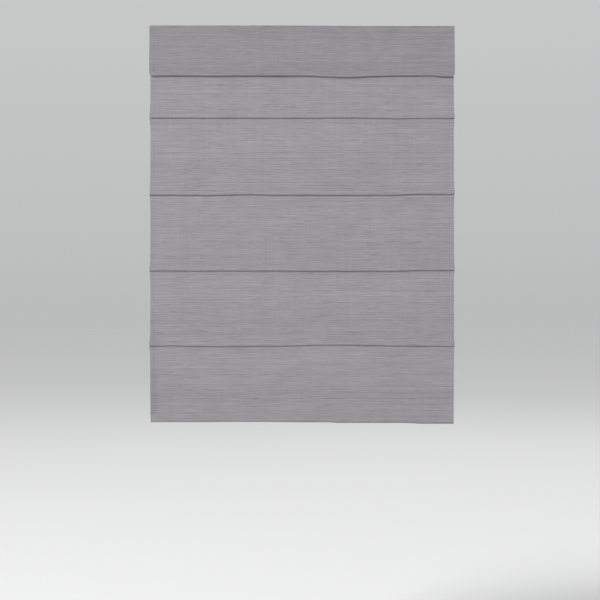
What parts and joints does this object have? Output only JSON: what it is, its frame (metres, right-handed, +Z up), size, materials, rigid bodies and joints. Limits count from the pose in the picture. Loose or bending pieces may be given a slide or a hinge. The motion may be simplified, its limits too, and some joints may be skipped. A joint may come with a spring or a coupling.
{
  "type": "roman blind",
  "caption": "Cordless roman blind: flat valance over a tucked cloth with ribs and a weight bar, raised by cords from a spring-balanced headrail.",
  "frame": {"origin": "centre of the ceiling screw pattern, on the brackets' top faces", "axes": "+Z up, -Y towards the room, +X to the right as seen from the room"},
  "size_m": [0.908, 0.0645, 1.1805],
  "materials": {
    "face_fabric": "matte",
    "lining_fabric": "matte",
    "tape_fabric": "matte",
    "rail_paint": "satin",
    "clip_steel": "satin",
    "white_plastic": "satin",
    "grey_plastic": "satin",
    "drum_plastic": "satin",
    "bright_steel": "polished",
    "spring_steel": "polished",
    "cord_fabric": "matte",
    "rib_glassfibre": "satin"
  },
  "bodies": {
    "headrail": {"headrail": "rail_paint", "headrail_cap_left": "white_plastic", "headrail_cap_right": "white_plastic", "bracket_left": "clip_steel", "bracket_right": "clip_steel", "hook_tape": "tape_fabric", "loop_tape": "tape_fabric", "valance": "face_fabric", "face_cloth": "face_fabric", "lining": "lining_fabric", "motor_frame": "grey_plastic", "motor_cover": "white_plastic", "storage_pin": "bright_steel", "power_spring": "spring_steel", "spool_cradle_left": "grey_plastic", "spool_cradle_right": "grey_plastic", "cord_eyelets": "grey_plastic", "lift_cord_left": "cord_fabric", "lift_cord_right": "cord_fabric"},
    "drive": {"drive_shaft": "bright_steel", "spools": "drum_plastic", "cord_wraps": "cord_fabric", "output_drum": "drum_plastic", "shaft_clips": "bright_steel"},
    "storage": {"storage_drum": "drum_plastic"},
    "bottom_rail": {"weight_bar": "rail_paint", "bar_cap_left": "white_plastic", "bar_cap_right": "white_plastic", "cord_anchors": "white_plastic"},
    "rib_1_set": {"rib_1": "rib_glassfibre", "rib_pocket_1": "tape_fabric", "rings_1": "white_plastic"},
    "rib_2_set": {"rib_2": "rib_glassfibre", "rib_pocket_2": "tape_fabric", "rings_2": "white_plastic"},
    "rib_3_set": {"rib_3": "rib_glassfibre", "rib_pocket_3": "tape_fabric", "rings_3": "white_plastic"},
    "rib_4_set": {"rib_4": "rib_glassfibre", "rib_pocket_4": "tape_fabric", "rings_4": "white_plastic"}
  },
  "joints": [
    {"name": "lift", "type": "slide", "parent": "headrail", "child": "bottom_rail", "axis": [0, 0, 1], "range_m": [0, 0.968], "deforming": ["face_cloth", "lining", "lift_cord_left", "lift_cord_right", "power_spring"]},
    {"name": "rib_1_lift", "type": "slide", "parent": "headrail", "child": "rib_1_set", "axis": [0, 0, 1], "range_m": [0, 0.20275]},
    {"name": "rib_2_lift", "type": "slide", "parent": "headrail", "child": "rib_2_set", "axis": [0, 0, 1], "range_m": [0, 0.40418]},
    {"name": "rib_3_lift", "type": "slide", "parent": "headrail", "child": "rib_3_set", "axis": [0, 0, 1], "range_m": [0, 0.60253]},
    {"name": "rib_4_lift", "type": "slide", "parent": "headrail", "child": "rib_4_set", "axis": [0, 0, 1], "range_m": [0, 0.79912]},
    {"name": "drive_spin", "type": "hinge", "parent": "headrail", "child": "drive", "pos_m": [0, -0.009, -0.021], "axis": [1, 0, 0], "range_deg": [-5719, 0]},
    {"name": "storage_spin", "type": "hinge", "parent": "headrail", "child": "storage", "pos_m": [0, 0.0105, -0.021], "axis": [1, 0, 0], "range_deg": [0, 4690]}
  ],
  "couplings": [
    {"joint": "rib_1_lift", "follows": "lift", "ratio": 0.20945},
    {"joint": "rib_2_lift", "follows": "lift", "ratio": 0.41754},
    {"joint": "rib_3_lift", "follows": "lift", "ratio": 0.62244},
    {"joint": "rib_4_lift", "follows": "lift", "ratio": 0.82553},
    {"joint": "drive_spin", "follows": "lift", "rad_per_m": -103.09},
    {"joint": "storage_spin", "follows": "lift", "rad_per_m": 84.536}
  ]
}
